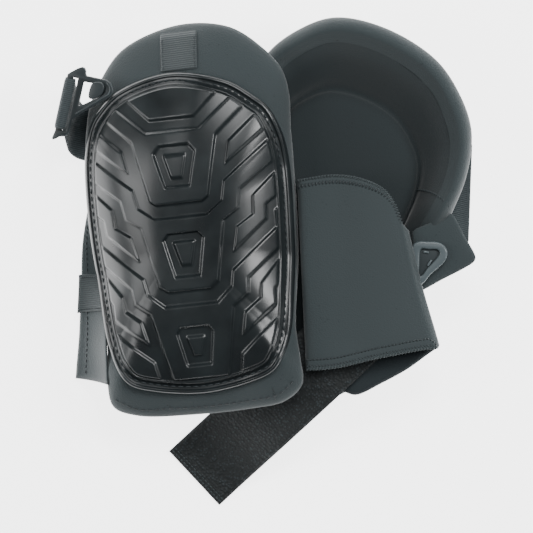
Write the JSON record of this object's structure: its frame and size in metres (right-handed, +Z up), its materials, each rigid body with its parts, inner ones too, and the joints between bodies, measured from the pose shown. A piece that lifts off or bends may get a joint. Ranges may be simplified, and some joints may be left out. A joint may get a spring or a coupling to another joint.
{
  "type": "knee pads",
  "caption": "Pair of strap-on work knee pads with ribbed moulded caps, padded bowls, stretch bands, a hook strap and a quick clip, laid together.",
  "frame": {"origin": "middle of the pair's footprint, on the surface that it lies on", "axes": "+Z up from the surface; +Y towards the thigh ends of the pads; +X to the right seen from above"},
  "size_m": [0.2842, 0.328, 0.0748],
  "materials": {
    "shell": "satin moulded PVC",
    "thread": "bonded nylon thread",
    "cover_cloth": "nylon jersey over neoprene",
    "foam": "closed-cell foam",
    "gel": "soft gel",
    "lining": "brushed nylon lining",
    "webbing": "woven polypropylene webbing",
    "clip_plastic": "moulded acetal",
    "elastic": "woven elastic",
    "stretch_band": "stretch neoprene band",
    "hook_tape": "nylon hook tape"
  },
  "bodies": {
    "rear_pad": {"rear_cap": "shell", "rear_cap_stitching": "thread", "rear_cover": "cover_cloth", "rear_foam_core": "foam", "rear_gel_insert": "gel", "rear_liner": "lining", "rear_band": "stretch_band", "rear_elastic_strap": "elastic", "rear_side_wing": "cover_cloth", "rear_clip_receiver": "clip_plastic"},
    "front_pad": {"front_cap": "shell", "front_cap_stitching": "thread", "front_cover": "cover_cloth", "front_foam_core": "foam", "front_gel_insert": "gel", "front_liner": "lining", "front_top_webbing": "webbing", "front_clip_post": "clip_plastic", "front_elastic_strap": "elastic", "front_band": "stretch_band", "front_hook_strap": "hook_tape"},
    "front_clip": {"front_clip_loop": "clip_plastic"},
    "front_wing": {"front_side_wing": "cover_cloth"},
    "front_strap_end": {"front_hook_strap_end": "hook_tape"}
  },
  "joints": [
    {"name": "front_pad_lift", "type": "slide", "parent": "rear_pad", "child": "front_pad", "axis": [0, 0, 1], "range_m": [0, 0.12]},
    {"name": "front_clip_swing", "type": "hinge", "parent": "front_pad", "child": "front_clip", "pos_m": [-0.13312, 0.10705, 0.04079], "axis": [-0.2187, -0.9693, -0.112], "range_deg": [0, 75]},
    {"name": "front_wing_lift", "type": "hinge", "parent": "front_pad", "child": "front_wing", "pos_m": [-0.12014, -0.00566, 0.00962], "axis": [-0.1178, 0.9913, 0.0591], "range_deg": [0, 50]},
    {"name": "front_strap_end_lift", "type": "hinge", "parent": "front_pad", "child": "front_strap_end", "pos_m": [-0.02025, -0.12099, 0.0125], "axis": [-0.682, 0.7314, 0], "range_deg": [0, 70]}
  ]
}
